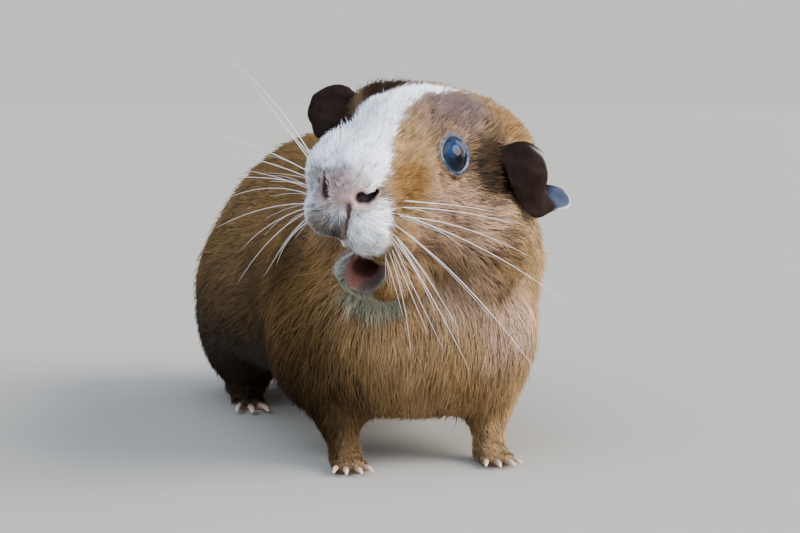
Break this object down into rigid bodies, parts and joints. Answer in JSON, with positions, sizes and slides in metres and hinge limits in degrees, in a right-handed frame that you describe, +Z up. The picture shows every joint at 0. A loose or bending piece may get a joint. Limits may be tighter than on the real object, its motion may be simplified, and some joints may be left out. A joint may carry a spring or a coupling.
{
  "type": "guinea pig",
  "caption": "Young smooth-coated guinea pig, standing, head raised and turned to its right, mouth open in a call; short ginger coat with white blaze, chin and throat, dark petal ears.",
  "frame": {"origin": "on the floor under the middle of the animal's bounding box", "axes": "+Z up, -Y the way the body faces, +X the animal's left; the head is turned towards -X"},
  "size_m": [0.0824, 0.1948, 0.0949],
  "materials": {
    "ginger_coat": "short flat fur, ginger brown with a white blaze, muzzle and throat",
    "white_coat": "short flat white fur of the chin and lower lip",
    "ear_skin": "thin dark brown skin, nearly bare, soft satin",
    "nose_skin": "greyish pink skin, slightly moist",
    "eye": "dark, wet and glossy",
    "foot_skin": "pinkish brown skin under very short hair",
    "claw": "pale horn"
  },
  "bodies": {
    "root": {"claw_fore_left_1": "claw", "claw_fore_left_2": "claw", "claw_fore_left_3": "claw", "claw_fore_left_4": "claw", "claw_fore_right_1": "claw", "claw_fore_right_2": "claw", "claw_fore_right_3": "claw", "claw_fore_right_4": "claw", "claw_hind_left_1": "claw", "claw_hind_left_2": "claw", "claw_hind_left_3": "claw", "claw_hind_right_1": "claw", "claw_hind_right_2": "claw", "claw_hind_right_3": "claw", "ear_left": "ear_skin", "ear_right": "ear_skin", "eye_left": "eye", "eye_right": "eye", "forefoot_left": "foot_skin", "forefoot_right": "foot_skin", "foreleg_left": "ginger_coat", "foreleg_right": "ginger_coat", "head": "ginger_coat", "hind_foot_left": "foot_skin", "hind_foot_right": "foot_skin", "hind_leg_left": "ginger_coat", "hind_leg_right": "ginger_coat", "hindquarters": "ginger_coat", "lower_jaw": "white_coat", "neck": "ginger_coat", "nose": "nose_skin", "trunk": "ginger_coat"}
  },
  "joints": []
}
